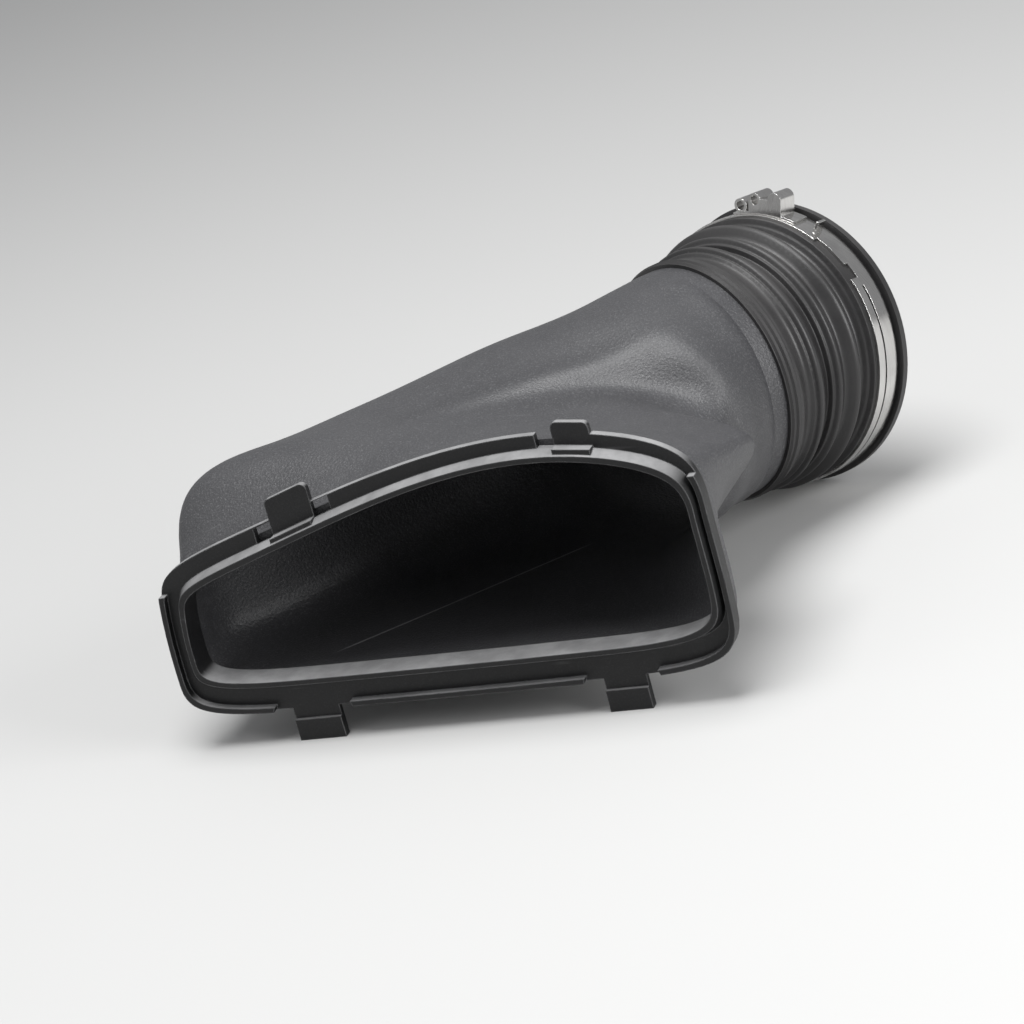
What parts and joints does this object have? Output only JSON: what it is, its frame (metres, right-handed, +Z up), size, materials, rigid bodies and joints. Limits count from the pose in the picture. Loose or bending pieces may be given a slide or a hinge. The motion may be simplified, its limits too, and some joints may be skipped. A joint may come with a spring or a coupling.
{
  "type": "cold air intake pipe",
  "caption": "Moulded black intake duct with a wide low arched mouth, latch tabs, a ribbed rubber cuff and a steel band clamp on its round end.",
  "frame": {"origin": "middle of the part's box in plan, on the plane it rests on", "axes": "+Z up, -Y out of the wide mouth, +X to the right of the mouth seen from its front, the long side of the mouth along X"},
  "size_m": [0.202, 0.192, 0.0999],
  "materials": {
    "duct_plastic": "fine grained black",
    "frame_plastic": "smooth black",
    "cuff_rubber": "satin black",
    "clamp_steel": "bright drawn"
  },
  "bodies": {
    "root": {"duct_body": "duct_plastic", "mouth_frame": "frame_plastic", "bellows_cuff": "cuff_rubber", "clamp_band": "clamp_steel", "clamp_buckle": "clamp_steel"}
  },
  "joints": []
}
